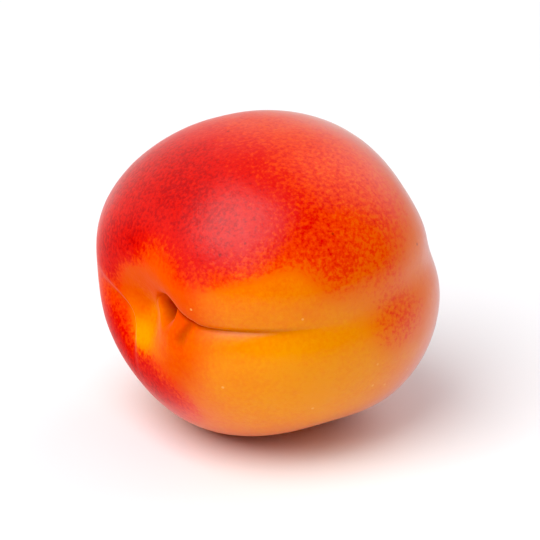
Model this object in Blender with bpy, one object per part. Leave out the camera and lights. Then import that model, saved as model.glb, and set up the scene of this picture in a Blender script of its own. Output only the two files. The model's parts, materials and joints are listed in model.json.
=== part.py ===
"""An apricot lying on its cheek, with the short woody stub of its stem in the hollow at one end.

The object's frame: +Z up from the flat spot that the fruit rests on, the stem end towards -X, and the
suture (the crease between the two cheeks) facing -Y.

The fruit is shaped in a frame of its own, with the stem along +Z, the suture along +X and the upper
cheek along +Y. A point of the skin is a distance from the centre, in a direction given by two angles:
turn, down from the stem, and swing, round from the suture towards the upper cheek.
"""

from math import asin, atan2, cos, exp, hypot, pi, radians, sin

import bmesh
import bpy
from mathutils import Matrix, Vector

# The body, in metres: half its width, thickness and length, and how square its curves are.
SUTURE_RADIUS = 0.0254
CHEEK_RADIUS = 0.0236
END_RADIUS = 0.0243
SQUARENESS = 2.25
UPPER_CHEEK_EXTRA = 0.0006
STEM_END_EXTRA = 0.0003

# Gentle swells and flats of a fruit that grew among its neighbours: turn, swing, height.
SWELLS = (
    (radians(147), radians(54), -0.0015),
    (radians(138), radians(-8), 0.0004),
    (radians(92), radians(-62), -0.0016),
    (radians(92), radians(-122), -0.0008),
    (radians(45), radians(153), 0.0007),
    (radians(33), radians(-165), 0.0003),
    (radians(52), radians(-88), 0.0004),
    (radians(35), radians(-125), -0.0005),
)
SWELL_SPREAD = radians(20)

# The hollow at the stem is a broad bowl, whose sides are not alike: it is long towards the back.
BOWL_DEPTH = 0.0045
BOWL_MIDDLE = -0.0008
BOWL_UPPER_REACH = 0.0066
BOWL_LOWER_REACH = 0.0062
BOWL_FRONT_REACH = 0.0062
BOWL_BACK_REACH = 0.0105

# A shallow channel leads out of the bowl over the back of the fruit. Its upper side is a steep wall,
# and its lower side is soft.
CHANNEL_DEPTH = 0.0009
CHANNEL_EDGE = 0.0022
CHANNEL_RISE = 0.0022
CHANNEL_FALL = 0.0150
CHANNEL_BEND = 0.0053
CHANNEL_REACH = 0.0024
CHANNEL_STARTS = (0.0010, 0.0050)
CHANNEL_ENDS = (0.0100, 0.0170)

# The stem stands in a narrow pit with a flat floor, which runs in under the lip of the upper cheek.
PIT_FLOOR = 0.0085
PIT_FRONT_REACH = 0.0030
PIT_BACK_REACH = 0.0024
PIT_SIDE_REACH = 0.0030
PIT_STEEPNESS = 6
PIT_PLACE = (0.0058, 0.0019)
PIT_UNDERCUT = 0.0016

# The suture runs from the hollow to the tip. It is a sharp crease near the stem and a soft valley all
# the way. It curls round the pit, and past the middle of the fruit it drifts to the upper cheek.
CREASE_DEPTH = 0.0022
CREASE_WIDTH = 0.0015
CREASE_WIDENING = 0.0012
WIDENING_REACH = radians(22)
CREASE_BEGINS = radians(12)
CREASE_DEEPEST = radians(25)
CREASE_LENGTH = radians(32)
VALLEY_DEPTH = 0.0010
VALLEY_WIDTH = 0.0038
SUTURE_START = radians(4.5)
SUTURE_CURL = radians(40)
CURL_MIDDLE = radians(10)
CURL_LENGTH = radians(12)
SUTURE_DRIFT = radians(30)
DRIFT_BEGINS = radians(80)
DRIFT_BEND = 1.5

# The dimple at the tip.
DIMPLE_DEPTH = 0.0007
DIMPLE_REACH = radians(8)

# The flat spot that the fruit rests on.
FOOT_DEPTH = 0.0004

# The stem's stub, which leans a little from the pit's floor towards the stem's axis, and the gap that
# keeps the two meshes apart.
STUB_RADIUS = 0.0014
STUB_BASE_RADIUS = 0.0011
STUB_LENGTH = 0.0016
STUB_LEAN = radians(10)
STUB_SIDES = 20
GAP = 0.0006

# How finely the fruit is faceted. Rings crowd towards the hollow and columns towards the suture.
RINGS = 44
COLUMNS = 68
RING_CROWDING = 0.50
COLUMN_CROWDING = 0.55
SHARP_ANGLE = radians(40)

# The two materials: colour and roughness.
SKIN_COLOUR = (0.85, 0.22, 0.02)
SKIN_ROUGHNESS = 0.6
WOOD_COLOUR = (0.16, 0.09, 0.04)
WOOD_ROUGHNESS = 0.85


def direction(turn, swing):
    """The unit vector at two angles in the fruit's frame."""
    return Vector((sin(turn) * cos(swing), sin(turn) * sin(swing), cos(turn)))


def soft_step(value, low, high):
    """A soft step from 0 at low to 1 at high."""
    share = min(1.0, max(0.0, (value - low) / (high - low)))
    return share * share * (3 - 2 * share)


def suture_swing(turn):
    """The swing at which the suture passes."""
    curl = SUTURE_CURL * exp(-(((turn - CURL_MIDDLE) / CURL_LENGTH) ** 2))
    past = max(0.0, (turn - DRIFT_BEGINS) / (pi - DRIFT_BEGINS))
    return SUTURE_START + curl + SUTURE_DRIFT * past**DRIFT_BEND


def body_radius(way):
    """The distance from the centre to the skin with no hollow and no suture."""
    cheek = CHEEK_RADIUS + UPPER_CHEEK_EXTRA * way.y
    end = END_RADIUS + STEM_END_EXTRA * way.z
    total = abs(way.x / SUTURE_RADIUS) ** SQUARENESS
    total += abs(way.y / cheek) ** SQUARENESS
    total += abs(way.z / end) ** SQUARENESS
    radius = total ** (-1 / SQUARENESS)
    for turn, swing, height in SWELLS:
        apart = way.angle(direction(turn, swing))
        radius += height * exp(-((apart / SWELL_SPREAD) ** 2))
    return radius


def bowl_depth(across, up):
    """How far the skin is drawn in, at a distance from the stem's axis towards the suture and up."""
    reach_across = BOWL_FRONT_REACH if across > 0 else BOWL_BACK_REACH
    reach_up = BOWL_UPPER_REACH if up > BOWL_MIDDLE else BOWL_LOWER_REACH
    aside = (up - BOWL_MIDDLE) / reach_up
    return BOWL_DEPTH * exp(-((across / reach_across) ** 2) - aside**2)


def channel_depth(across, up):
    """How much deeper the skin is drawn in along the channel behind the bowl."""
    middle = CHANNEL_RISE - CHANNEL_FALL * exp(min(across, 0.0) / CHANNEL_BEND)
    above = up - middle + CHANNEL_EDGE / 2
    below = exp(-((min(above, 0.0) / CHANNEL_REACH) ** 2))
    wall = 1 - soft_step(above, 0.0, CHANNEL_EDGE)
    along = soft_step(-across, *CHANNEL_STARTS) * (1 - soft_step(-across, *CHANNEL_ENDS))
    return CHANNEL_DEPTH * along * below * wall


def pit_share(across, up):
    """How much of the pit's full depth there is at a place, from 0 to 1."""
    outward = Vector(PIT_PLACE).normalized()
    away = Vector((across, up)) - Vector(PIT_PLACE)
    along = away.dot(outward)
    along /= PIT_FRONT_REACH if along > 0 else PIT_BACK_REACH
    aside = away.cross(outward) / PIT_SIDE_REACH
    return exp(-(hypot(along, aside) ** PIT_STEEPNESS))


def suture_depth(turn, swing, radius):
    """How far the skin is drawn in beside the suture."""
    aside = (swing - suture_swing(turn) + pi) % (2 * pi) - pi
    away = 2 * radius * sin(turn) * abs(sin(aside / 2))
    crease = CREASE_DEPTH * exp(-(((turn - CREASE_DEEPEST) / CREASE_LENGTH) ** 2))
    crease *= 1 - exp(-((turn / CREASE_BEGINS) ** 2))
    width = CREASE_WIDTH + CREASE_WIDENING * exp(-((turn / WIDENING_REACH) ** 2))
    valley = VALLEY_DEPTH * sin(turn)
    return crease * exp(-away / width) + valley * exp(-((away / VALLEY_WIDTH) ** 2))


def skin_point(turn, swing):
    """The point of the skin at two angles."""
    way = direction(turn, swing)
    radius = body_radius(way)
    depth = suture_depth(turn, swing, radius)
    depth += DIMPLE_DEPTH * exp(-(((pi - turn) / DIMPLE_REACH) ** 2))
    if turn > pi / 2:
        return way * (radius - depth)
    across, up = radius * way.x, radius * way.y
    depth += bowl_depth(across, up) + channel_depth(across, up)
    pit = pit_share(across, up)
    depth += (PIT_FLOOR - depth) * pit
    undercut = Vector((*PIT_PLACE, 0.0)).normalized() * PIT_UNDERCUT
    return way * (radius - depth) + undercut * pit


def shape_fruit():
    """The fruit as one closed solid in its own frame, with its flat spot cut on the lower cheek."""
    shape = bmesh.new()
    bmesh.ops.create_uvsphere(shape, u_segments=COLUMNS, v_segments=RINGS, radius=1.0)
    for vertex in shape.verts:
        turn = atan2(hypot(vertex.co.x, vertex.co.y), vertex.co.z)
        turn -= RING_CROWDING * sin(turn)
        swing = atan2(vertex.co.y, vertex.co.x)
        swing += suture_swing(turn) - COLUMN_CROWDING * sin(swing)
        vertex.co = skin_point(turn, swing)
    lowest = min(vertex.co.y for vertex in shape.verts)
    cut = bmesh.ops.bisect_plane(
        shape,
        geom=shape.verts[:] + shape.edges[:] + shape.faces[:],
        plane_co=(0, lowest + FOOT_DEPTH, 0),
        plane_no=(0, -1, 0),
        clear_outer=True,
    )
    rim = [part for part in cut["geom_cut"] if isinstance(part, bmesh.types.BMEdge)]
    bmesh.ops.edgeloop_fill(shape, edges=rim)
    bmesh.ops.recalc_face_normals(shape, faces=shape.faces)
    return shape


def shape_stub():
    """The stem's stub in the fruit's frame: a stout peg, wider where it broke off."""
    shape = bmesh.new()
    bmesh.ops.create_cone(
        shape,
        cap_ends=True,
        segments=STUB_SIDES,
        radius1=STUB_BASE_RADIUS,
        radius2=STUB_RADIUS,
        depth=STUB_LENGTH,
    )
    swing = atan2(PIT_PLACE[1], PIT_PLACE[0])
    turn = asin(hypot(*PIT_PLACE) / body_radius(direction(0.0, 0.0)))
    lean = Matrix.Rotation(turn - STUB_LEAN, 4, direction(pi / 2, swing + pi / 2))
    rise = GAP + STUB_BASE_RADIUS * sin(STUB_LEAN) + STUB_LENGTH / 2
    stand = Matrix.Translation(skin_point(turn, swing)) @ lean @ Matrix.Translation((0, 0, rise))
    bmesh.ops.transform(shape, matrix=stand, verts=shape.verts)
    return shape


def material(name, colour, roughness):
    """A plain Principled material."""
    made = bpy.data.materials.new(name)
    made.use_nodes = True
    shader = made.node_tree.nodes["Principled BSDF"]
    shader.inputs["Base Color"].default_value = (*colour, 1.0)
    shader.inputs["Roughness"].default_value = roughness
    shader.inputs["Metallic"].default_value = 0.0
    return made


def add_object(name, shape, finish, collection):
    """A new object from a bmesh, with its material and smooth shading."""
    mesh = bpy.data.meshes.new(name)
    shape.to_mesh(mesh)
    shape.free()
    mesh.materials.append(finish)
    mesh.shade_smooth()
    mesh.set_sharp_from_angle(angle=SHARP_ANGLE)
    made = bpy.data.objects.new(name, mesh)
    collection.objects.link(made)
    return made


def lay_down(fruit, stub, collection):
    """Hangs both pieces on an empty that lays the fruit on its lower cheek.

    The middle of the fruit's base comes to the origin.
    """
    lie = Matrix(((0, 0, -1), (-1, 0, 0), (0, 1, 0))).to_4x4()
    points = [lie @ vertex.co for vertex in fruit.data.vertices]
    low = Vector(min(point[axis] for point in points) for axis in range(3))
    high = Vector(max(point[axis] for point in points) for axis in range(3))
    shift = Vector((-(low.x + high.x) / 2, -(low.y + high.y) / 2, -low.z))
    carrier = bpy.data.objects.new("apricot", None)
    collection.objects.link(carrier)
    fruit.parent = carrier
    stub.parent = carrier
    carrier.matrix_world = Matrix.Translation(shift) @ lie


def main():
    """Clears the scene and builds the apricot in it."""
    for old in list(bpy.data.objects):
        bpy.data.objects.remove(old, do_unlink=True)
    collection = bpy.data.collections.new("Apricot")
    bpy.context.scene.collection.children.link(collection)
    skin = material("fruit_skin", SKIN_COLOUR, SKIN_ROUGHNESS)
    wood = material("stem_wood", WOOD_COLOUR, WOOD_ROUGHNESS)
    fruit = add_object("fruit", shape_fruit(), skin, collection)
    stub = add_object("stem_stub", shape_stub(), wood, collection)
    lay_down(fruit, stub, collection)


main()
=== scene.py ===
"""An apricot lying on its cheek: velvety skin and a dry stub of stem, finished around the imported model.

The fruit is shaped in a frame of its own, with the stem along +Z, the suture (the crease between the two
cheeks) along +X and the upper cheek along +Y. Two angles name a place on the skin: turn, down from the
stem, and swing, round from the suture towards the upper cheek. Lengths are in metres.
"""

from __future__ import annotations

import json
import logging
import math
from dataclasses import dataclass, field
from enum import Enum
from math import pi, radians

import bpy
import numpy as np
from mathutils import Matrix, Vector

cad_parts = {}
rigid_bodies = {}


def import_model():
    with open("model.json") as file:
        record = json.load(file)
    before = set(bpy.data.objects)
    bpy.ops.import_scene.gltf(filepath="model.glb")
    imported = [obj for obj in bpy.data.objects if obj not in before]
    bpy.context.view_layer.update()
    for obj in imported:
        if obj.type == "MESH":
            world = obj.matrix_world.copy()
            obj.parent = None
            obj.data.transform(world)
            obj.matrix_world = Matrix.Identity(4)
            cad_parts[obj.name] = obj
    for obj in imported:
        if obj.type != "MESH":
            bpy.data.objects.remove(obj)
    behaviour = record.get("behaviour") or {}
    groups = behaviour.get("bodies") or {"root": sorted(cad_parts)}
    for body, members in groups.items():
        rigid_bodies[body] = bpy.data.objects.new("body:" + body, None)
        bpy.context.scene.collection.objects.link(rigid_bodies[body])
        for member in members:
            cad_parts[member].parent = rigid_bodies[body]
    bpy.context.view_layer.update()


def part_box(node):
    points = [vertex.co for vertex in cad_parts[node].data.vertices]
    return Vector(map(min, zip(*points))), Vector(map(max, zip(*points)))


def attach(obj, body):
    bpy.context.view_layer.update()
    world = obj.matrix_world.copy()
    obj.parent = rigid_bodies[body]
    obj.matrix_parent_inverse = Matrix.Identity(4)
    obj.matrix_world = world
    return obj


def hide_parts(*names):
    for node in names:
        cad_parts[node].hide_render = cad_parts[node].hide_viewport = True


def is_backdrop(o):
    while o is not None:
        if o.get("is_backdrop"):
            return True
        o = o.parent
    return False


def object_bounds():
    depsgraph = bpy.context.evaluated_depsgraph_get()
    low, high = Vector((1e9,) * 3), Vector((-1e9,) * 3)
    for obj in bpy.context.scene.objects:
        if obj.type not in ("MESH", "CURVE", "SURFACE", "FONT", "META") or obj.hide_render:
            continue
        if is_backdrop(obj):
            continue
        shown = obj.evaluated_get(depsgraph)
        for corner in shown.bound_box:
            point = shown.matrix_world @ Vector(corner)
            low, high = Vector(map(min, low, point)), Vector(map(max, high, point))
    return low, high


LOG = logging.getLogger("apricot")
Colour = tuple[float, float, float]

# The node groups: the soft edge of a speck, and the finer of the two sizes of unevenness.
SPECK_EDGE = (0.55, 1.0)
RELIEF_DETAIL = 3.0
FINER = 4.0
FINE_SHARE = 0.35

# What every noise and cloud pattern swings around, and how many finer clouds are laid over the first.
PATTERN_MIDDLE = 0.5
CLOUD_DEPTH = 2


class Mask(Enum):
    """The masks that the skin's mesh carries, one number for each point."""

    # The red blush, with deeper red painted as shade on the upper side of the stem hollow.
    BLUSH = "blush_and_painted_shade"
    # The ground's yellow, with painted light on the stem hollow's lit wall and painted shade round it.
    GOLD = "gold_and_painted_light"
    # A pale sheen painted into the colour where the skin turns away; it also leaves the stem end matt.
    DUST = "painted_sheen"
    # The stem's pit, painted darker: painted shade, partly its corky brown.
    PIT = "pit"
    # The suture and its fold, painted darker: partly a browner line, partly painted shade.
    CREASE = "crease"
    TIP = "tip"


# ---------------------------------------------------------------------------------------------------
# Small helpers
# ---------------------------------------------------------------------------------------------------


def tint(red: int, green: int, blue: int) -> Colour:
    """Turns a screen colour of 0 to 255 into the linear values that shaders take.

    Args:
        red: the red of the screen colour.
        green: the green of the screen colour.
        blue: the blue of the screen colour.

    Returns:
        The linear red, green and blue.
    """

    def linear(level: int) -> float:
        """The linear value of one screen level."""
        share = level / 255
        return share / 12.92 if share <= 0.04045 else ((share + 0.055) / 1.055) ** 2.4

    return linear(red), linear(green), linear(blue)


def wrapped(angle: np.ndarray) -> np.ndarray:
    """Brings angles into the range from -pi to pi."""
    return (angle + pi) % (2 * pi) - pi


def smooth_step(value: np.ndarray, low: float, high: float) -> np.ndarray:
    """A soft step from 0 at low to 1 at high."""
    share = np.clip((value - low) / (high - low), 0, 1)
    return share * share * (3 - 2 * share)


def direction(turn: np.ndarray, swing: np.ndarray) -> np.ndarray:
    """Unit vectors in the fruit's frame.

    Args:
        turn: angles down from the stem.
        swing: angles round from the suture.

    Returns:
        One vector for each pair of angles, along the last axis.
    """
    across = np.sin(turn)
    return np.stack([across * np.cos(swing), across * np.sin(swing), np.cos(turn)], axis=-1)


def points_of(mesh: bpy.types.Mesh) -> np.ndarray:
    """Reads a mesh's points.

    Args:
        mesh: the mesh to read.

    Returns:
        The points, one row each.
    """
    flat = np.empty(len(mesh.vertices) * 3, np.float32)
    mesh.vertices.foreach_get("co", flat)
    return flat.reshape(-1, 3).astype(float)


def move_points(mesh: bpy.types.Mesh, places: np.ndarray) -> None:
    """Moves the mesh's points to new places."""
    mesh.vertices.foreach_set("co", places.astype(np.float32).ravel())
    mesh.update()


def added_primitive(name: str) -> bpy.types.Object:
    """Names the primitive that an operator has just added.

    Args:
        name: the name for the object and for its mesh.

    Returns:
        The primitive.
    """
    made = bpy.context.active_object
    made.name = name
    made.data.name = name
    return made


def deselect_all() -> None:
    """Leaves nothing selected, so that the next operator acts on the new piece alone."""
    for each in bpy.context.view_layer.objects:
        each.select_set(False)


def apply_modifier(piece: bpy.types.Object, kind: str, **settings: object) -> None:
    """Adds a modifier to a piece and applies it.

    Args:
        piece: the object that the modifier shapes.
        kind: the modifier's type.
        settings: the modifier's own settings, by name.
    """
    deselect_all()
    bpy.context.view_layer.objects.active = piece
    piece.select_set(True)
    modifier = piece.modifiers.new(kind.title(), kind)
    for name, value in settings.items():
        setattr(modifier, name, value)
    bpy.ops.object.modifier_apply(modifier=modifier.name)


def clouds(name: str, size: float) -> bpy.types.Texture:
    """A soft cloud pattern for a Displace modifier.

    Args:
        name: the texture's name.
        size: the size of its swells, in metres.

    Returns:
        The texture.
    """
    pattern = bpy.data.textures.new(name, "CLOUDS")
    pattern.noise_scale = size
    pattern.noise_depth = CLOUD_DEPTH
    return pattern


# ---------------------------------------------------------------------------------------------------
# Shader building
# ---------------------------------------------------------------------------------------------------


class Graph:
    """Adds and joins the nodes of one material or node group."""

    def __init__(self, tree: bpy.types.NodeTree) -> None:
        """Starts from an empty tree."""
        self.tree = tree
        tree.nodes.clear()

    def node(self, kind: str, **settings: object) -> bpy.types.Node:
        """Adds a node.

        Args:
            kind: the node's type.
            settings: the node's own properties, by name.

        Returns:
            The node.
        """
        made = self.tree.nodes.new(kind)
        for name, value in settings.items():
            setattr(made, name, value)
        return made

    def join(self, source: object, target: bpy.types.NodeSocket) -> None:
        """Gives a target socket what it shows.

        Args:
            source: a socket to link from, or a plain value to set.
            target: the socket that takes it.
        """
        if isinstance(source, bpy.types.NodeSocket):
            self.tree.links.new(source, target)
        else:
            target.default_value = source

    def math(self, operation: str, first: object, second: object = 0.0, clamp: bool = False) -> object:
        """Adds a Math node.

        Args:
            operation: what the node does.
            first: the first socket or value.
            second: the second socket or value.
            clamp: whether the result is kept from 0 to 1.

        Returns:
            The node's output.
        """
        made = self.node("ShaderNodeMath", operation=operation, use_clamp=clamp)
        self.join(first, made.inputs[0])
        self.join(second, made.inputs[1])
        return made.outputs[0]

    def soft(self, value: object, low: float, high: float) -> object:
        """Adds a soft step.

        Args:
            value: the socket or value that the step reads.
            low: where the step is 0.
            high: where the step is 1.

        Returns:
            The step's output.
        """
        made = self.node("ShaderNodeMapRange", interpolation_type="SMOOTHSTEP")
        self.join(value, made.inputs["Value"])
        made.inputs["From Min"].default_value = low
        made.inputs["From Max"].default_value = high
        return made.outputs["Result"]

    def mix(self, factor: object, first: object, second: object) -> object:
        """Adds a mix of two colours.

        Args:
            factor: how much of the second colour there is.
            first: the first colour, or its socket.
            second: the second colour, or its socket.

        Returns:
            The mixed colour's output.
        """
        made = self.node("ShaderNodeMix", data_type="RGBA")
        self.join(factor, made.inputs["Factor"])
        for source, target in ((first, made.inputs[6]), (second, made.inputs[7])):
            self.join((*source, 1.0) if isinstance(source, tuple) else source, target)
        return made.outputs[2]

    def noise(self, vector: object, scale: float, detail: float, roughness: float = 0.5) -> object:
        """Adds a noise.

        Args:
            vector: the place that the noise is read at.
            scale: how many swells it has to a metre.
            detail: how many finer noises are laid over it.
            roughness: how strong the finer ones are.

        Returns:
            A value around 0.5.
        """
        made = self.node("ShaderNodeTexNoise")
        self.join(vector, made.inputs["Vector"])
        made.inputs["Scale"].default_value = scale
        made.inputs["Detail"].default_value = detail
        made.inputs["Roughness"].default_value = roughness
        return made.outputs["Fac"]

    def drift(self, vector: object, scale: float, detail: float, roughness: float = 0.5) -> object:
        """The same noise as a value around 0."""
        return self.math("SUBTRACT", self.noise(vector, scale, detail, roughness), PATTERN_MIDDLE)

    def mask(self, name: Mask) -> object:
        """One of the masks that the mesh carries."""
        return self.node("ShaderNodeAttribute", attribute_name=name.value).outputs["Fac"]

    def group(self, tree: bpy.types.NodeTree, **inputs: object) -> object:
        """Places a node group.

        Args:
            tree: the group.
            inputs: what each of its inputs takes, by name.

        Returns:
            The group's output.
        """
        made = self.node("ShaderNodeGroup", node_tree=tree)
        for name, source in inputs.items():
            self.join(source, made.inputs[name])
        return made.outputs[0]


@dataclass(frozen=True)
class Effects:
    """The node groups that both finishes share."""

    specks: bpy.types.NodeTree
    relief: bpy.types.NodeTree

    @classmethod
    def build(cls) -> Effects:
        """Builds each group once."""
        return cls(specks=cls._specks(), relief=cls._relief())

    @staticmethod
    def _new_group(
        name: str, inputs: dict[str, str], output: str
    ) -> tuple[Graph, bpy.types.Node, bpy.types.Node]:
        """A group with named inputs and one output.

        Args:
            name: the group's name.
            inputs: the socket type of each input, by its name.
            output: the name of the one output, a number.

        Returns:
            The group's graph, its input node and its output node.
        """
        tree = bpy.data.node_groups.new(name, "ShaderNodeTree")
        graph = Graph(tree)
        for label, kind in inputs.items():
            tree.interface.new_socket(name=label, in_out="INPUT", socket_type=kind)
        tree.interface.new_socket(name=output, in_out="OUTPUT", socket_type="NodeSocketFloat")
        return graph, graph.node("NodeGroupInput"), graph.node("NodeGroupOutput")

    @staticmethod
    def _specks() -> bpy.types.NodeTree:
        """Scattered round specks: only the cells whose random number is under Share hold one.

        Returns:
            The node group.
        """
        graph, inside, outside = Effects._new_group(
            "Scattered specks",
            {
                "Vector": "NodeSocketVector",
                "Scale": "NodeSocketFloat",
                "Size": "NodeSocketFloat",
                "Share": "NodeSocketFloat",
            },
            "Mask",
        )
        cells = graph.node("ShaderNodeTexVoronoi", feature="F1")
        graph.join(inside.outputs["Vector"], cells.inputs["Vector"])
        graph.join(inside.outputs["Scale"], cells.inputs["Scale"])
        near = graph.math("DIVIDE", cells.outputs["Distance"], inside.outputs["Size"])
        dot = graph.math("SUBTRACT", 1.0, graph.soft(near, *SPECK_EDGE))
        pick = graph.node("ShaderNodeSeparateColor")
        graph.join(cells.outputs["Color"], pick.inputs[0])
        chosen = graph.math("LESS_THAN", pick.outputs[0], inside.outputs["Share"])
        graph.join(graph.math("MULTIPLY", dot, chosen), outside.inputs["Mask"])
        return graph.tree

    @staticmethod
    def _relief() -> bpy.types.NodeTree:
        """Fine unevenness in two sizes, as a height around 0.

        Returns:
            The node group.
        """
        graph, inside, outside = Effects._new_group(
            "Fine relief",
            {"Vector": "NodeSocketVector", "Scale": "NodeSocketFloat"},
            "Height",
        )
        coarse = graph.node("ShaderNodeTexNoise")
        fine = graph.node("ShaderNodeTexNoise")
        for made in (coarse, fine):
            graph.join(inside.outputs["Vector"], made.inputs["Vector"])
            made.inputs["Detail"].default_value = RELIEF_DETAIL
        graph.join(inside.outputs["Scale"], coarse.inputs["Scale"])
        graph.join(graph.math("MULTIPLY", inside.outputs["Scale"], FINER), fine.inputs["Scale"])
        small = graph.math("SUBTRACT", fine.outputs["Fac"], PATTERN_MIDDLE)
        small = graph.math("MULTIPLY", small, FINE_SHARE)
        large = graph.math("SUBTRACT", coarse.outputs["Fac"], PATTERN_MIDDLE)
        graph.join(graph.math("ADD", large, small), outside.inputs["Height"])
        return graph.tree


# ---------------------------------------------------------------------------------------------------
# Finishes
# ---------------------------------------------------------------------------------------------------


@dataclass(frozen=True)
class Specks:
    """One kind of speck: cells to a metre, size and share of the cells that hold one, and strength."""

    scale: float
    size: float
    share: float
    strength: float

    def spread(self, graph: Graph, effects: Effects, place: object) -> object:
        """Where the specks are, at full strength."""
        return graph.group(effects.specks, Vector=place, Scale=self.scale, Size=self.size, Share=self.share)


@dataclass(frozen=True)
class Relief:
    """The fine relief of a surface: its swells to a metre, how strong it is and how high."""

    scale: float
    strength: float
    height: float

    def raise_skin(self, graph: Graph, effects: Effects, place: object, shader: bpy.types.Node) -> None:
        """Gives a shader its relief.

        Args:
            graph: the material's graph.
            effects: the shared node groups.
            place: the coordinates that the relief is laid on.
            shader: the material's shader.
        """
        bump = graph.node("ShaderNodeBump")
        bump.inputs["Strength"].default_value = self.strength
        bump.inputs["Distance"].default_value = self.height
        graph.join(graph.group(effects.relief, Vector=place, Scale=self.scale), bump.inputs["Height"])
        graph.join(bump.outputs[0], shader.inputs["Normal"])


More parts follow.
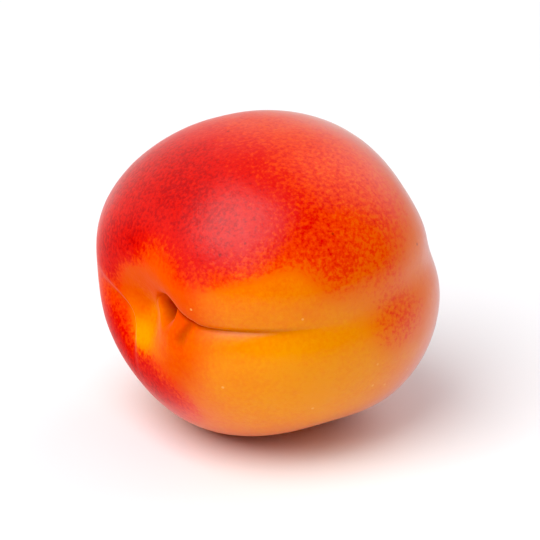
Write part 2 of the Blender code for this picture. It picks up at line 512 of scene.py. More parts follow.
@dataclass(frozen=True)
class VelvetSkin:
    """The ripe skin: golden ground, red blush laid over it in fine mottles, and a pale velvet bloom, partly
    the shader's sheen and partly a sheen painted into the colour. Painted light and shade are laid in too:
    a lit wall and darker walls round the stem hollow, and shade in the suture, the fold and the stem's pit.
    """

    effects: Effects
    # Tangerine is the warm ground under the blush, and also painted shade round the stem hollow.
    tangerine_and_painted_shade: Colour = tint(228, 78, 0)
    amber: Colour = tint(234, 112, 0)
    # Gold is the yellow of the lower cheek, and also painted light on the stem hollow's lit wall.
    gold_and_painted_light: Colour = tint(238, 147, 0)
    ember: Colour = tint(230, 60, 0)
    red: Colour = tint(212, 14, 2)
    crimson: Colour = tint(176, 0, 2)
    # The seam's colour darkens the suture and its fold: partly a browner line, partly painted shade.
    seam_and_painted_shade: Colour = tint(168, 66, 4)
    # The cork colour darkens the stem's pit: partly its corky brown, partly painted shade.
    cork_and_painted_shade: Colour = tint(176, 72, 6)
    lenticel: Colour = tint(110, 20, 8)
    pale_speck: Colour = tint(252, 198, 112)
    scar: Colour = tint(92, 52, 22)
    ground_detail: float = 2.0
    ground_drift: float = 0.6
    ground_grain: float = 1.1
    blush_warmth: float = 1.3
    mottle_scale: float = 1700.0
    mottle_detail: float = 2.0
    mottle_roughness: float = 0.6
    mottle_share: float = 1.25
    cloud_scale: float = 210.0
    cloud_detail: float = 3.0
    cloud_share: float = 0.3
    mottled_from: tuple[float, float] = (0.04, 0.45)
    ember_from: tuple[float, float] = (0.12, 0.42)
    red_from: tuple[float, float] = (0.34, 0.78)
    crimson_from: tuple[float, float] = (0.80, 1.20)
    seam_and_painted_shade_strength: float = 0.55
    cork_and_painted_shade_strength: float = 0.85
    lenticels: Specks = Specks(330.0, 0.095, 0.08, 0.5)
    pale_specks: Specks = Specks(410.0, 0.11, 0.20, 0.55)
    pale_fading: float = 2.0
    roughness: float = 0.38
    wear: float = 0.16
    wear_scale: float = 500.0
    wear_detail: float = 3.0
    matt_from: tuple[float, float] = (0.0, 0.5)
    matt_extra: float = 0.55
    specular: float = 0.42
    bloom: float = 0.10
    bloom_roughness: float = 0.30
    bloom_tint: Colour = (1.0, 0.86, 0.84)
    # A painted sheen: the pale colour laid over the skin where it turns away from the view.
    painted_sheen: Colour = tint(226, 158, 146)
    painted_sheen_strength: float = 0.95
    painted_sheen_power: float = 3.2
    facing_blend: float = 0.5
    glow: float = 0.22
    glow_depth: float = 0.0026
    glow_spread: Colour = (1.0, 0.32, 0.1)
    relief: Relief = Relief(900.0, 0.35, 0.00012)

    def material(self) -> bpy.types.Material:
        """Builds the skin's material.

        Returns:
            The material.
        """
        made = bpy.data.materials.new("velvet_skin")
        made.use_nodes = True
        graph = Graph(made.node_tree)
        place = graph.node("ShaderNodeTexCoord").outputs["Object"]
        colour = self._ground(graph, place)
        colour = self._with_blush_and_painted_shade(graph, place, colour)
        colour = self._marked(graph, place, colour)
        colour = self._with_painted_sheen(graph, colour)
        shader = graph.node("ShaderNodeBsdfPrincipled")
        graph.join(colour, shader.inputs["Base Color"])
        self._surface(graph, place, shader)
        output = graph.node("ShaderNodeOutputMaterial")
        graph.join(shader.outputs[0], output.inputs["Surface"])
        return made

    def _ground(self, graph: Graph, place: object) -> object:
        """The colour under the blush: amber, gold where it is yellowest, tangerine where it is warmest; the
        gold also paints light on the stem hollow's lit wall, and the tangerine paints shade round it.

        Args:
            graph: the material's graph.
            place: the coordinates that the colour is laid on.

        Returns:
            The ground colour.
        """
        drift = graph.drift(place, self.cloud_scale, self.ground_detail)
        gold_and_painted_light = graph.math("ADD", graph.mask(Mask.GOLD), graph.math("MULTIPLY", drift, self.ground_drift))
        grain = self._mottles(graph, place)
        gold_and_painted_light = graph.math("ADD", gold_and_painted_light, graph.math("MULTIPLY", grain, self.ground_grain))
        warmth = graph.math("MULTIPLY", graph.mask(Mask.BLUSH), self.blush_warmth)
        gold_and_painted_light = graph.math("SUBTRACT", gold_and_painted_light, warmth)
        warm = graph.mix(graph.math("MULTIPLY", gold_and_painted_light, -1.0, clamp=True), self.amber, self.tangerine_and_painted_shade)
        return graph.mix(graph.math("MAXIMUM", gold_and_painted_light, 0.0, clamp=True), warm, self.gold_and_painted_light)

    def _mottles(self, graph: Graph, place: object) -> object:
        """The fine mottles of the skin, as a value around 0."""
        return graph.drift(place, self.mottle_scale, self.mottle_detail, self.mottle_roughness)

    def _with_blush_and_painted_shade(self, graph: Graph, place: object, ground: object) -> object:
        """Lays the blush, and the shade painted as deeper red by the stem hollow, over the ground, with its
        edge broken into fine mottles.

        Args:
            graph: the material's graph.
            place: the coordinates that the mottles are laid on.
            ground: the ground colour.

        Returns:
            The blushed colour.
        """
        blush_and_painted_shade = graph.mask(Mask.BLUSH)
        fine = graph.math("MULTIPLY", self._mottles(graph, place), self.mottle_share)
        broad = graph.drift(place, self.cloud_scale, self.cloud_detail)
        broad = graph.math("MULTIPLY", broad, self.cloud_share)
        inside = graph.soft(blush_and_painted_shade, *self.mottled_from)
        level = graph.math("ADD", blush_and_painted_shade, graph.math("MULTIPLY", graph.math("ADD", fine, broad), inside))
        colour = graph.mix(graph.soft(level, *self.ember_from), ground, self.ember)
        colour = graph.mix(graph.soft(level, *self.red_from), colour, self.red)
        return graph.mix(graph.soft(level, *self.crimson_from), colour, self.crimson)

    def _marked(self, graph: Graph, place: object, colour: object) -> object:
        """Adds the seam's darker line, partly a browner suture and partly painted shade in the crease and
        the fold, the painted shade of the stem's pit, partly its corky brown, the specks and the scar at
        the tip.

        Args:
            graph: the material's graph.
            place: the coordinates that the specks are laid on.
            colour: the skin's colour without the marks.

        Returns:
            The marked colour.
        """
        # The suture and its fold darker: a browner line and painted shade in the crease.
        seam_and_painted_shade = graph.math("MULTIPLY", graph.mask(Mask.CREASE), self.seam_and_painted_shade_strength)
        colour = graph.mix(seam_and_painted_shade, colour, self.seam_and_painted_shade)
        # The stem's pit darker: painted shade, partly its corky brown.
        cork_and_painted_shade = graph.math("MULTIPLY", graph.mask(Mask.PIT), self.cork_and_painted_shade_strength)
        colour = graph.mix(cork_and_painted_shade, colour, self.cork_and_painted_shade)
        dark = self.lenticels.spread(graph, self.effects, place)
        dark = graph.math("MULTIPLY", dark, self.lenticels.strength)
        colour = graph.mix(dark, colour, self.lenticel)
        fading = graph.math("MULTIPLY", graph.mask(Mask.BLUSH), self.pale_fading)
        strength = graph.math("SUBTRACT", self.pale_specks.strength, fading, clamp=True)
        pale = graph.math("MULTIPLY", self.pale_specks.spread(graph, self.effects, place), strength)
        colour = graph.mix(pale, colour, self.pale_speck)
        return graph.mix(graph.mask(Mask.TIP), colour, self.scar)

    def _with_painted_sheen(self, graph: Graph, colour: object) -> object:
        """Paints the velvet's sheen into the colour where the skin turns away and its hairs overlap: a
        painted sheen.

        Args:
            graph: the material's graph.
            colour: the skin's colour without the painted sheen.

        Returns:
            The colour with the painted sheen over it.
        """
        facing = graph.node("ShaderNodeLayerWeight")
        facing.inputs["Blend"].default_value = self.facing_blend
        veil = graph.math("POWER", facing.outputs["Facing"], self.painted_sheen_power)
        veil = graph.math("MULTIPLY", veil, graph.mask(Mask.DUST))
        return graph.mix(graph.math("MULTIPLY", veil, self.painted_sheen_strength, clamp=True), colour, self.painted_sheen)

    def _surface(self, graph: Graph, place: object, shader: bpy.types.Node) -> None:
        """Sets the shine, the velvet bloom, the glow under the skin and the fine relief.

        Args:
            graph: the material's graph.
            place: the coordinates that the unevenness is laid on.
            shader: the skin's shader.
        """
        wear = graph.drift(place, self.wear_scale, self.wear_detail)
        wear = graph.math("MULTIPLY", wear, self.wear)
        matt = graph.math("SUBTRACT", 1.0, graph.soft(graph.mask(Mask.DUST), *self.matt_from))
        rough = graph.math("ADD", self.roughness, wear)
        rough = graph.math("ADD", rough, graph.math("MULTIPLY", matt, self.matt_extra), clamp=True)
        graph.join(rough, shader.inputs["Roughness"])
        shader.inputs["Specular IOR Level"].default_value = self.specular
        shader.inputs["Sheen Weight"].default_value = self.bloom
        shader.inputs["Sheen Roughness"].default_value = self.bloom_roughness
        shader.inputs["Sheen Tint"].default_value = (*self.bloom_tint, 1.0)
        shader.inputs["Subsurface Weight"].default_value = self.glow
        shader.inputs["Subsurface Scale"].default_value = self.glow_depth
        shader.inputs["Subsurface Radius"].default_value = self.glow_spread
        self.relief.raise_skin(graph, self.effects, place, shader)


@dataclass(frozen=True)
class DryWood:
    """The dried stem: rough brown bark with a paler broken end."""

    effects: Effects
    bark: Colour = tint(92, 62, 34)
    shade: Colour = tint(48, 30, 16)
    heart: Colour = tint(152, 122, 74)
    grain_scale: float = 1800.0
    grain_detail: float = 4.0
    grain_roughness: float = 0.65
    grain_from: tuple[float, float] = (0.35, 0.68)
    knots: Specks = Specks(1500.0, 0.3, 0.2, 0.6)
    roughness: float = 0.82
    specular: float = 0.25
    relief: Relief = Relief(1600.0, 0.8, 0.0003)

    def material(self) -> bpy.types.Material:
        """Builds the stub's material.

        Returns:
            The material.
        """
        made = bpy.data.materials.new("dry_wood")
        made.use_nodes = True
        graph = Graph(made.node_tree)
        place = graph.node("ShaderNodeTexCoord").outputs["Object"]
        grain = graph.noise(place, self.grain_scale, self.grain_detail, self.grain_roughness)
        grain = graph.soft(grain, *self.grain_from)
        colour = graph.mix(grain, self.shade, self.bark)
        colour = graph.mix(graph.mask(Mask.TIP), colour, graph.mix(grain, self.bark, self.heart))
        knots = self.knots.spread(graph, self.effects, place)
        colour = graph.mix(graph.math("MULTIPLY", knots, self.knots.strength), colour, self.shade)
        shader = graph.node("ShaderNodeBsdfPrincipled")
        graph.join(colour, shader.inputs["Base Color"])
        shader.inputs["Roughness"].default_value = self.roughness
        shader.inputs["Specular IOR Level"].default_value = self.specular
        self.relief.raise_skin(graph, self.effects, place, shader)
        output = graph.node("ShaderNodeOutputMaterial")
        graph.join(shader.outputs[0], output.inputs["Surface"])
        return made


# ---------------------------------------------------------------------------------------------------
# The fruit
# ---------------------------------------------------------------------------------------------------


@dataclass(frozen=True)
class Swell:
    """A gentle swell or flat of the skin, by its place and height."""

    turn: float
    swing: float
    height: float
    spread: float = radians(20)

    def height_at(self, way: np.ndarray) -> np.ndarray:
        """Measures the swell.

        Args:
            way: unit vectors in the fruit's frame.

        Returns:
            Its height in each direction.
        """
        middle = direction(np.array(self.turn), np.array(self.swing))
        apart = np.arccos(np.clip(way @ middle, -1, 1))
        return self.height * np.exp(-((apart / self.spread) ** 2))


@dataclass(frozen=True)
class Patch:
    """A flat-topped patch of colour on the skin, with soft edges."""

    turn: float
    swing: float
    turn_reach: float
    swing_reach: float
    strength: float = 1.0
    edge: float = 4.0

    def weight(self, turn: np.ndarray, swing: np.ndarray) -> np.ndarray:
        """Measures the patch.

        Args:
            turn: angles down from the stem.
            swing: angles round from the suture.

        Returns:
            How strong it is at each place, from 0 to its strength.
        """
        along = np.abs((turn - self.turn) / self.turn_reach) ** self.edge
        around = np.abs(wrapped(swing - self.swing) / self.swing_reach) ** self.edge
        return self.strength * np.exp(-along - around)


@dataclass(frozen=True)
class SkinForm:
    """The skin's shape: how far from the centre it is in every direction."""

    suture_radius: float = 0.0254
    cheek_radius: float = 0.0236
    end_radius: float = 0.0243
    squareness: float = 2.25
    upper_cheek_extra: float = 0.0006
    stem_end_extra: float = 0.0003
    swells: tuple[Swell, ...] = (
        Swell(radians(147), radians(54), -0.0015),
        Swell(radians(138), radians(-8), 0.0004),
        Swell(radians(92), radians(-62), -0.0016),
        Swell(radians(92), radians(-122), -0.0008),
        Swell(radians(45), radians(153), 0.0007),
        Swell(radians(33), radians(-165), 0.0003),
        Swell(radians(52), radians(-88), 0.0004),
        Swell(radians(35), radians(-125), -0.0005),
    )
    bowl_depth: float = 0.0045
    bowl_middle: float = -0.0008
    bowl_upper_reach: float = 0.0066
    bowl_lower_reach: float = 0.0062
    bowl_front_reach: float = 0.0062
    bowl_back_reach: float = 0.0105
    channel_depth: float = 0.0009
    channel_edge: float = 0.0022
    channel_rise: float = 0.0022
    channel_fall: float = 0.0150
    channel_bend: float = 0.0053
    channel_reach: float = 0.0024
    channel_starts: tuple[float, float] = (0.0010, 0.0050)
    channel_ends: tuple[float, float] = (0.0100, 0.0170)
    pit_floor: float = 0.0085
    pit_front_reach: float = 0.0022
    pit_back_reach: float = 0.0017
    pit_side_reach: float = 0.0019
    pit_steepness: float = 2.6
    pit_place: tuple[float, float] = (0.0058, 0.0019)
    pit_undercut: float = 0.0016
    crease_depth: float = 0.0016
    crease_width: float = 0.0015
    crease_widening: float = 0.0012
    widening_reach: float = radians(22)
    crease_begins: float = radians(12)
    crease_deepest: float = radians(25)
    crease_length: float = radians(32)
    slit_depth: float = 0.00016
    slit_width: float = 0.00024
    slit_fades: tuple[float, float] = (radians(53.25), radians(78.1))
    lip_overhang: float = 0.00008
    lip_place: float = 0.0010
    fold_depth: float = 0.0008
    fold_start: tuple[float, float] = (0.0123, 0.0019)
    fold_end: tuple[float, float] = (0.0104, -0.0024)
    fold_width: float = 0.0007
    fold_widens: tuple[float, float] = (0.6, 0.8)
    fold_rises: tuple[float, float] = (-0.15, 0.25)
    fold_falls: tuple[float, float] = (0.7, 1.15)
    valley_depth: float = 0.0010
    valley_width: float = 0.0038
    suture_start: float = radians(4.5)
    suture_curl: float = radians(40)
    curl_middle: float = radians(10)
    curl_length: float = radians(12)
    suture_drift: float = radians(30)
    drift_begins: float = radians(80)
    drift_bend: float = 1.5
    dimple_depth: float = 0.0007
    dimple_reach: float = radians(8)

    def suture_swing(self, turn: np.ndarray) -> np.ndarray:
        """The suture's course: it curls round the hollow, and drifts near the tip.

        Args:
            turn: angles down from the stem.

        Returns:
            The swing at which the suture passes.
        """
        curl = self.suture_curl * np.exp(-(((turn - self.curl_middle) / self.curl_length) ** 2))
        past = np.maximum(0, (turn - self.drift_begins) / (pi - self.drift_begins))
        return self.suture_start + curl + self.suture_drift * past**self.drift_bend

    def body(self, way: np.ndarray) -> np.ndarray:
        """The distance to the skin with no hollow and no suture.

        Args:
            way: unit vectors in the fruit's frame.

        Returns:
            The distance along each of them.
        """
        cheek = self.cheek_radius + self.upper_cheek_extra * way[:, 1]
        end = self.end_radius + self.stem_end_extra * way[:, 2]
        total = np.abs(way[:, 0] / self.suture_radius) ** self.squareness
        total += np.abs(way[:, 1] / cheek) ** self.squareness
        total += np.abs(way[:, 2] / end) ** self.squareness
        return total ** (-1 / self.squareness) + sum(swell.height_at(way) for swell in self.swells)

    def bowl(self, across: np.ndarray, up: np.ndarray) -> np.ndarray:
        """How far the skin is drawn in around the stem: a bowl, drawn out into a channel behind.

        Args:
            across: distances from the stem's axis towards the suture.
            up: distances from the stem's axis towards the upper cheek.

        Returns:
            The depth at each place.
        """
        reach_across = np.where(across > 0, self.bowl_front_reach, self.bowl_back_reach)
        reach_up = np.where(up > self.bowl_middle, self.bowl_upper_reach, self.bowl_lower_reach)
        aside = (up - self.bowl_middle) / reach_up
        depth = self.bowl_depth * np.exp(-((across / reach_across) ** 2) - aside**2)
        middle = self.channel_rise - self.channel_fall * np.exp(np.minimum(across, 0) / self.channel_bend)
        above = up - middle + self.channel_edge / 2
        below = np.exp(-((np.minimum(above, 0) / self.channel_reach) ** 2))
        wall = 1 - smooth_step(above, 0, self.channel_edge)
        along = smooth_step(-across, *self.channel_starts) * (1 - smooth_step(-across, *self.channel_ends))
        return depth + self.channel_depth * along * below * wall

    def pit(self, across: np.ndarray, up: np.ndarray) -> np.ndarray:
        """The stem's narrow pit, which reaches out less at the back than at the front.

        Args:
            across: distances from the stem's axis towards the suture.
            up: distances from the stem's axis towards the upper cheek.

        Returns:
            How much of the pit's full depth there is at each place, from 0 to 1.
        """
        out = np.array(self.pit_place) / np.hypot(*self.pit_place)
        from_middle = across - self.pit_place[0], up - self.pit_place[1]
        along = from_middle[0] * out[0] + from_middle[1] * out[1]
        aside = from_middle[1] * out[0] - from_middle[0] * out[1]
        along /= np.where(along > 0, self.pit_front_reach, self.pit_back_reach)
        return np.exp(-(np.hypot(along, aside / self.pit_side_reach) ** self.pit_steepness))

    def fold(self, across: np.ndarray, up: np.ndarray) -> np.ndarray:
        """The short fold that leaves the suture at the hollow's edge.

        Args:
            across: distances from the stem's axis towards the suture.
            up: distances from the stem's axis towards the upper cheek.

        Returns:
            Its depth at each place.
        """
        start = np.array(self.fold_start)
        run = np.array(self.fold_end) - start
        length = np.hypot(*run)
        along = ((across - start[0]) * run[0] + (up - start[1]) * run[1]) / length**2
        aside = ((across - start[0]) * run[1] - (up - start[1]) * run[0]) / length
        narrowest, widening = self.fold_widens
        width = self.fold_width * (narrowest + widening * np.clip(along, 0, 1))
        within = smooth_step(along, *self.fold_rises) * (1 - smooth_step(along, *self.fold_falls))
        return self.fold_depth * within * np.exp(-((aside / width) ** 2))

    def crease_strength(self, turn: np.ndarray) -> np.ndarray:
        """How sharp the suture is along its length, from 0 to 1."""
        rise = 1 - np.exp(-((turn / self.crease_begins) ** 2))
        return rise * np.exp(-(((turn - self.crease_deepest) / self.crease_length) ** 2))

    def slit_strength(self, turn: np.ndarray) -> np.ndarray:
        """How open the thin slit at the bottom of the suture is, from 0 to 1."""
        rise = 1 - np.exp(-((turn / self.crease_begins) ** 2))
        return rise * (1 - smooth_step(turn, *self.slit_fades))

    def away_from_suture(
        self, turn: np.ndarray, swing: np.ndarray, radius: np.ndarray
    ) -> np.ndarray:
        """The distance along the skin from the suture, positive on the upper cheek."""
        aside = wrapped(swing - self.suture_swing(turn))
        return 2 * radius * np.sin(turn) * np.sin(aside / 2)

    def offsets(
        self, turn: np.ndarray, swing: np.ndarray, radius: np.ndarray
    ) -> tuple[np.ndarray, np.ndarray]:
        """How far each place at the stem end is from the axis, towards the suture and the upper cheek."""
        flat = np.where(turn < pi / 2, radius * np.sin(turn), 1.0)
        return flat * np.cos(swing), flat * np.sin(swing)

    def hollow(
        self, turn: np.ndarray, swing: np.ndarray, radius: np.ndarray
    ) -> tuple[np.ndarray, np.ndarray]:
        """The depth of the bowl, and the share of the pit in it."""
        across, up = self.offsets(turn, swing, radius)
        return self.bowl(across, up) + self.fold(across, up), self.pit(across, up)

    def skin(self, turn: np.ndarray, swing: np.ndarray) -> np.ndarray:
        """Places the skin.

        Args:
            turn: angles down from the stem.
            swing: angles round from the suture.

        Returns:
            The skin's point at each pair of angles, in the fruit's frame.
        """
        way = direction(turn, swing)
        radius = self.body(way)
        bowl, pit = self.hollow(turn, swing, radius)
        away = self.away_from_suture(turn, swing, radius)
        sharp = self.crease_strength(turn)
        width = self.crease_width + self.crease_widening * np.exp(-((turn / self.widening_reach) ** 2))
        groove = sharp * self.crease_depth * np.exp(-np.abs(away) / width)
        groove += self.slit_strength(turn) * self.slit_depth * np.exp(-((away / self.slit_width) ** 2))
        groove += self.valley_depth * np.sin(turn) * np.exp(-((away / self.valley_width) ** 2))
        dimple = self.dimple_depth * np.exp(-(((pi - turn) / self.dimple_reach) ** 2))
        depth = bowl + groove + dimple
        depth += (self.pit_floor - depth) * pit
        under = direction(np.array(pi / 2), np.arctan2(self.pit_place[1], self.pit_place[0]))
        places = way * (radius - depth)[:, None] + self.pit_undercut * pit[:, None] * under
        lip = self.lip_overhang * sharp * np.exp(-(((away - self.lip_place) / self.lip_place) ** 2))
        lip = np.where(away > 0, lip, 0)
        down = np.stack([np.sin(swing), -np.cos(swing), np.zeros_like(swing)], axis=-1)
        return places + lip[:, None] * down


@dataclass(frozen=True)
class Ripeness:
    """Where the skin is golden and where the sun has reddened it, with painted light and shade round the
    stem hollow.
    """

    sunny_and_painted_shade: tuple[Patch, ...] = (
        Patch(radians(74), radians(92), radians(46), radians(62), 1.0, 8.0),
        # Partly real blush, partly painted shade: a deeper red on the upper side of the stem hollow.
        Patch(radians(28), radians(128), radians(11), radians(52), 1.0),
        Patch(radians(88), radians(160), radians(44), radians(50), 0.8),
        Patch(radians(93), radians(42), radians(20), radians(30), 0.8),
        Patch(radians(33), radians(-116), radians(14), radians(52), 1.0),
        Patch(radians(31), radians(-74), radians(12), radians(28), 0.75, 2.0),
        Patch(radians(107), radians(0), radians(18), radians(15), 0.72, 2.0),
        Patch(radians(118), radians(152), radians(36), radians(50), 0.85, 2.0),
        Patch(radians(132), radians(82), radians(22), radians(58), 0.7, 2.0),
        Patch(radians(150), radians(-60), radians(20), radians(60), 0.5, 2.0),
    )
    fading: tuple[float, float] = (radians(50), radians(95))
    faded: float = 0.58
    golden_and_painted_light: tuple[Patch, ...] = (
        Patch(radians(74), radians(-16), radians(44), radians(33), 1.0, 2.4),
        # Painted light: the lit lower wall of the stem hollow, painted gold.
        Patch(radians(15), radians(-105), radians(7), radians(50), 1.4, 2.0),
        # Painted shade: tangerine round the stem hollow, where its walls turn from the light.
        Patch(radians(24), radians(8), radians(13), radians(75), -1.1, 3.0),
        Patch(radians(14), radians(130), radians(14), radians(95), -0.9, 4.0),
        Patch(radians(26), radians(-120), radians(9), radians(70), -0.8, 2.0),
    )

    def blush_and_painted_shade(self, turn: np.ndarray, swing: np.ndarray) -> np.ndarray:
        """How red the skin is, with a deeper red painted as shade on the upper side of the stem hollow.

        Args:
            turn: angles down from the stem.
            swing: angles round from the suture.

        Returns:
            The blush at each place, from 0 to 1.
        """
        clear = np.ones_like(turn)
        for patch in self.sunny_and_painted_shade:
            clear *= 1 - patch.weight(turn, swing)
        return (1 - clear) * (1 - self.faded * smooth_step(turn, *self.fading))

    def gold_and_painted_light(self, turn: np.ndarray, swing: np.ndarray) -> np.ndarray:
        """How yellow the ground colour is at each place, from -1 for tangerine to 1 for gold; round the
        stem hollow this paints light on the lit wall and shade on the walls beside it.
        """
        return np.clip(sum(patch.weight(turn, swing) for patch in self.golden_and_painted_light), -1, 1)


@dataclass
class Fruit:
    """The whole fruit, skin and flesh in one piece."""

    finish: VelvetSkin
    form: SkinForm = field(default_factory=SkinForm)
    ripeness: Ripeness = field(default_factory=Ripeness)
    segments: int = 184
    rings: int = 124
    ring_crowding: float = 0.40
    column_crowding: float = 0.55
    smoothness: int = 1
    seam_width: float = 0.0005
    foot_softness: float = 0.00025
    foot_depth: float = 0.0004
    wave_size: float = 0.016
    wave_height: float = 0.00022
    ripple_size: float = 0.0035
    ripple_height: float = 0.00004
    # Where the sheen is painted into the colour: none at the stem end, thicker towards the tip.
    painted_sheen_begins: tuple[float, float] = (radians(20), radians(48))
    painted_sheen_thickens: tuple[float, float] = (radians(88), radians(116))
    painted_sheen_share: float = 0.5
    painted_sheen_extra: float = 1.0
    pit_shade: tuple[float, float] = (0.0, 0.5)
    scar_reach: tuple[float, float] = (radians(1.6), radians(0.6))

    def build(self) -> bpy.types.Object:
        """Models the fruit in the place that the frame gives it.

        Returns:
            The finished piece.
        """
        deselect_all()
        bpy.ops.mesh.primitive_uv_sphere_add(
            segments=self.segments, ring_count=self.rings, radius=1.0
        )
        piece = added_primitive("apricot_fruit")
        turn, swing = self._grown_angles(points_of(piece.data))
        move_points(piece.data, self.form.skin(turn, swing))
        self._carry_masks(piece.data, turn, swing)
        apply_modifier(piece, "SUBSURF", levels=self.smoothness, render_levels=self.smoothness)
        for name, size, height in (
            ("Slow waves", self.wave_size, self.wave_height),
            ("Skin ripples", self.ripple_size, self.ripple_height),
        ):
            texture = clouds(name, size)
            apply_modifier(
                piece, "DISPLACE", texture=texture, strength=height, mid_level=PATTERN_MIDDLE
            )
        self._lay_down(piece.data)
        piece.data.shade_smooth()
        return piece

    def dress(self, piece: bpy.types.Object) -> None:
        """Gives the fruit its skin and its place in the frame.

        Args:
            piece: the fruit.
        """
        piece.data.materials.append(self.finish.material())
        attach(piece, "root")
        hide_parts("fruit")

    def _grown_angles(self, points: np.ndarray) -> tuple[np.ndarray, np.ndarray]:
        """Crowds the sphere's points towards the hollow and the suture.

        Args:
            points: the points of a round sphere.

        Returns:
            The turn and the swing of each point.
        """
        turn = np.arctan2(np.hypot(points[:, 0], points[:, 1]), points[:, 2])
        turn = turn - self.ring_crowding * np.sin(turn)
        swing = np.arctan2(points[:, 1], points[:, 0])
        swing = swing - self.column_crowding * np.sin(swing) + self.form.suture_swing(turn)
        return turn, swing

    def _carry_masks(self, mesh: bpy.types.Mesh, turn: np.ndarray, swing: np.ndarray) -> None:
        """Stores the masks that the finish reads.

        Args:
            mesh: the skin's mesh.
            turn: the turn of each of its points.
            swing: the swing of each of its points.
        """
        radius = self.form.body(direction(turn, swing))
        away = self.form.away_from_suture(turn, swing, radius)
        _, pit = self.form.hollow(turn, swing, radius)
        # The painted sheen, none at the stem end and thicker towards the tip; the finish also makes the
        # stem end matt from it.
        painted_sheen = smooth_step(turn, *self.painted_sheen_begins)
        painted_sheen *= self.painted_sheen_share + self.painted_sheen_extra * smooth_step(turn, *self.painted_sheen_thickens)
        # The suture's line and the fold, darkened in the finish: partly a browner line, partly painted
        # shade.
        crease = self.form.slit_strength(turn) * np.exp(-((away / self.seam_width) ** 2))
        across, up = self.form.offsets(turn, swing, radius)
        crease = np.maximum(crease, self.form.fold(across, up) / self.form.fold_depth)
        masks = {
            Mask.BLUSH: self.ripeness.blush_and_painted_shade(turn, swing),
            Mask.GOLD: self.ripeness.gold_and_painted_light(turn, swing),
            Mask.DUST: painted_sheen,
            Mask.PIT: smooth_step(pit, *self.pit_shade),
            Mask.CREASE: crease,
            Mask.TIP: smooth_step(pi - turn, *self.scar_reach),
        }
        for mask, values in masks.items():
            layer = mesh.attributes.new(mask.value, "FLOAT", "POINT")
            layer.data.foreach_set("value", values.astype(np.float32))

    def _lay_down(self, mesh: bpy.types.Mesh) -> None:
        """Turns the fruit onto its lower cheek, sets it in the frame's box and flattens its foot softly.

        Args:
            mesh: the skin's mesh.
        """
        # The stem end goes to -X, the suture to -Y and the upper cheek to +Z.
        mesh.transform(Matrix(((0, 0, -1), (-1, 0, 0), (0, 1, 0))).to_4x4())
        low, high = (np.array(corner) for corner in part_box("fruit"))
        places = points_of(mesh)
        middle = (places.min(axis=0) + places.max(axis=0)) / 2
        places += (low + high) / 2 - middle
        places[:, 2] += low[2] - places[:, 2].min() - self.foot_depth
        height = places[:, 2] - low[2]
        soft = (height + self.foot_softness) ** 2 / (4 * self.foot_softness)
        height = np.where(np.abs(height) < self.foot_softness, soft, np.maximum(height, 0))
        places[:, 2] = low[2] + height
        move_points(mesh, places)


@dataclass
class StemStub:
    """The short stub of stem that stays in the hollow when the fruit is picked."""

    finish: DryWood
    sides: int = 28
    lean: float = radians(4.2)
    lean_swing: float = radians(18.1)
    slimness: float = 0.8
    rings: tuple[tuple[float, float], ...] = ((0.18, 0.05), (0.25, -0.16), (0.15, 0.1))
    knot_size: float = 0.5
    knot_height: float = 0.22
    broken_above: float = 0.4
    broken_within: float = 0.8
    faces_up: float = 0.9
    smoothness: int = 2

    def build(self) -> bpy.types.Object:
        """Models the stub where the frame's node stands.

        Returns:
            The finished piece.
        """
        low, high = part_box("stem_stub")
        radius = (high.y - low.y) / 2
        length = high.x - low.x
        deselect_all()
        bpy.ops.mesh.primitive_cylinder_add(
            vertices=self.sides, radius=radius * self.slimness, depth=length
        )
        piece = added_primitive("apricot_stem_stub")
        self._break_end(piece.data, radius)
        self._carry_masks(piece.data, length)
        apply_modifier(piece, "SUBSURF", levels=self.smoothness, render_levels=self.smoothness)
        knots = clouds("Bark knots", radius * self.knot_size)
        height = radius * self.knot_height
        apply_modifier(piece, "DISPLACE", texture=knots, strength=height, mid_level=PATTERN_MIDDLE)
        self._stand(piece.data, (low + high) / 2)
        piece.data.shade_smooth()
        return piece

    def _break_end(self, mesh: bpy.types.Mesh, radius: float) -> None:
        """Shapes the broken end in rings: the bark's rim, the sunken wood and the pith.

        Args:
            mesh: the stub's mesh, upright.
            radius: the stub's radius.
        """
        bpy.ops.object.mode_set(mode="EDIT")
        bpy.ops.mesh.select_all(action="DESELECT")
        bpy.ops.object.mode_set(mode="OBJECT")
        for face in mesh.polygons:
            face.select = face.normal.z > self.faces_up
        bpy.ops.object.mode_set(mode="EDIT")
        for width, rise in self.rings:
            bpy.ops.mesh.inset(thickness=radius * width, depth=radius * rise)
        bpy.ops.object.mode_set(mode="OBJECT")

    def _carry_masks(self, mesh: bpy.types.Mesh, length: float) -> None:
        """Marks the broken end.

        Args:
            mesh: the stub's mesh, upright.
            length: the stub's length.
        """
        points = points_of(mesh)
        radius = np.hypot(points[:, 0], points[:, 1])
        end = (points[:, 2] > length * self.broken_above) & (radius < radius.max() * self.broken_within)
        layer = mesh.attributes.new(Mask.TIP.value, "FLOAT", "POINT")
        layer.data.foreach_set("value", end.astype(np.float32))

    def _stand(self, mesh: bpy.types.Mesh, middle: Vector) -> None:
        """Leans the stub out of the stem end, away from the fruit's axis, and sets it in its place.

        Args:
            mesh: the stub's mesh, upright.
            middle: the middle of its place.
        """
        aside = math.sin(self.lean)
        towards_suture = aside * math.cos(self.lean_swing)
        axis = Vector((-math.cos(self.lean), -towards_suture, aside * math.sin(self.lean_swing)))
        lean = axis.to_track_quat("Z", "Y").to_matrix().to_4x4()
        mesh.transform(Matrix.Translation(middle) @ lean)

    def dress(self, piece: bpy.types.Object) -> None:
        """Gives the stub its bark and its place in the frame.

        Args:
            piece: the stub.
        """
        piece.data.materials.append(self.finish.material())
        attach(piece, "root")
        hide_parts("stem_stub")


# ---------------------------------------------------------------------------------------------------
# The studio
# ---------------------------------------------------------------------------------------------------


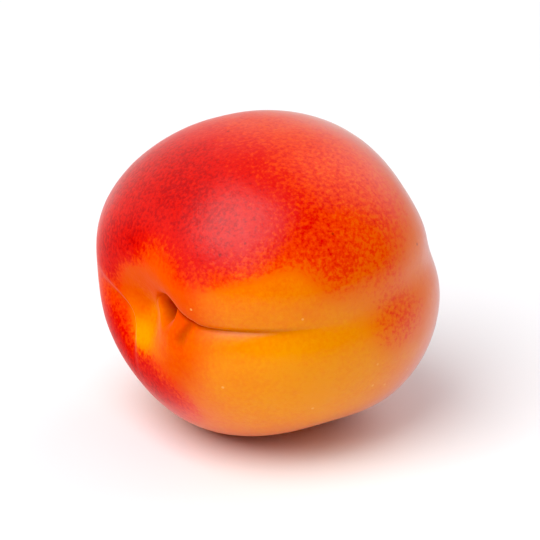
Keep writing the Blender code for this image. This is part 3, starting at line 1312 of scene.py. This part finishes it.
@dataclass(frozen=True)
class Softbox:
    """A large soft light, placed by the direction that it shines from."""

    name: str
    azimuth: float
    elevation: float
    distance: float
    size: float
    power: float

    def build(self, target: Vector) -> bpy.types.Object:
        """Hangs the light and aims it.

        Args:
            target: the place that it shines on.

        Returns:
            The light.
        """
        lamp = bpy.data.lights.new(self.name, "AREA")
        lamp.size = self.size
        lamp.energy = self.power
        made = bpy.data.objects.new(self.name, lamp)
        bpy.context.scene.collection.objects.link(made)
        made.location = target + away_towards(self.azimuth, self.elevation) * self.distance
        made.rotation_euler = (target - made.location).to_track_quat("-Z", "Y").to_euler()
        return made


def away_towards(azimuth: float, elevation: float) -> Vector:
    """Points from the fruit to something around it.

    Args:
        azimuth: the angle round it, from in front on the suture's side.
        elevation: the angle up from the table.

    Returns:
        The unit vector.
    """
    flat = math.cos(elevation)
    return Vector((math.sin(azimuth) * flat, -math.cos(azimuth) * flat, math.sin(elevation)))


@dataclass
class Studio:
    """A white table, soft light all round and the camera."""

    floor_reach: float = 0.5
    table_colour: tuple[float, float, float, float] = (0.92, 0.92, 0.92, 1.0)
    table_roughness: float = 0.6
    table_specular: float = 0.2
    surround: float = 0.50
    backdrop: float = 1.1
    sky: tuple[float, float, float, float] = (0.95, 0.95, 1.0, 1.0)
    azimuth: float = radians(-33.2)
    elevation: float = radians(23)
    lens: float = 300.0
    view_width: float = 0.081
    nearest: float = 0.01
    veil: float = 0.028
    softboxes: tuple[Softbox, ...] = (
        Softbox("key_light", radians(-78), radians(56), 0.9, 0.85, 8.4),
        Softbox("fill_light", radians(95), radians(40), 1.2, 1.0, 3.4),
    )

    def build(self) -> None:
        """Builds the floor, the light and the camera."""
        low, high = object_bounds()
        centre = (low + high) / 2
        self._floor(low.z)
        self._world()
        for softbox in self.softboxes:
            softbox.build(centre)
        self._camera(centre)
        self._develop()

    def _develop(self) -> None:
        """Shows the colours plainly, with the darkest veil of stray light taken off."""
        settings = bpy.context.scene.view_settings
        settings.view_transform = "Standard"
        settings.use_curve_mapping = True
        settings.curve_mapping.black_level = (self.veil, self.veil, self.veil)
        settings.curve_mapping.update()

    def _floor(self, height: float) -> None:
        """Lays the white table under the fruit.

        Args:
            height: the height of its top.
        """
        deselect_all()
        bpy.ops.mesh.primitive_plane_add(size=2 * self.floor_reach, location=(0, 0, height))
        floor = added_primitive("table_top")
        paper = bpy.data.materials.new("white_table")
        paper.use_nodes = True
        shader = paper.node_tree.nodes["Principled BSDF"]
        shader.inputs["Base Color"].default_value = self.table_colour
        shader.inputs["Roughness"].default_value = self.table_roughness
        shader.inputs["Specular IOR Level"].default_value = self.table_specular
        floor.data.materials.append(paper)
        floor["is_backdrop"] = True

    def _world(self) -> None:
        """Surrounds the scene with even white light, behind which the camera sees a paler backdrop."""
        world = bpy.data.worlds.new("soft_surround")
        world.use_nodes = True
        nodes, links = world.node_tree.nodes, world.node_tree.links
        background = nodes["Background"]
        background.inputs["Color"].default_value = self.sky
        background.inputs["Strength"].default_value = self.surround
        backdrop = nodes.new("ShaderNodeBackground")
        backdrop.inputs["Color"].default_value = self.sky
        backdrop.inputs["Strength"].default_value = self.backdrop
        seen = nodes.new("ShaderNodeLightPath")
        choice = nodes.new("ShaderNodeMixShader")
        links.new(seen.outputs["Is Camera Ray"], choice.inputs["Fac"])
        links.new(background.outputs["Background"], choice.inputs[1])
        links.new(backdrop.outputs["Background"], choice.inputs[2])
        links.new(choice.outputs["Shader"], nodes["World Output"].inputs["Surface"])
        bpy.context.scene.world = world

    def _camera(self, centre: Vector) -> None:
        """Sets the long lens on the fruit.

        Args:
            centre: the place in the middle of the view.
        """
        lens = bpy.data.cameras.new("camera")
        lens.lens = self.lens
        lens.clip_start = self.nearest
        camera = bpy.data.objects.new("camera", lens)
        bpy.context.scene.collection.objects.link(camera)
        away = away_towards(self.azimuth, self.elevation)
        camera.location = centre + away * (self.view_width * self.lens / lens.sensor_width)
        camera.rotation_euler = away.to_track_quat("Z", "Y").to_euler()
        bpy.context.scene.camera = camera


def main() -> None:
    """Builds and dresses each piece in turn."""
    logging.basicConfig(level=logging.INFO, format="%(name)s: %(message)s")
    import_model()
    effects = Effects.build()
    for maker in (Fruit(VelvetSkin(effects)), StemStub(DryWood(effects))):
        piece = maker.build()
        maker.dress(piece)
        LOG.info("%s: %d faces", piece.name, len(piece.data.polygons))
    Studio().build()


if __name__ == "__main__":
    main()
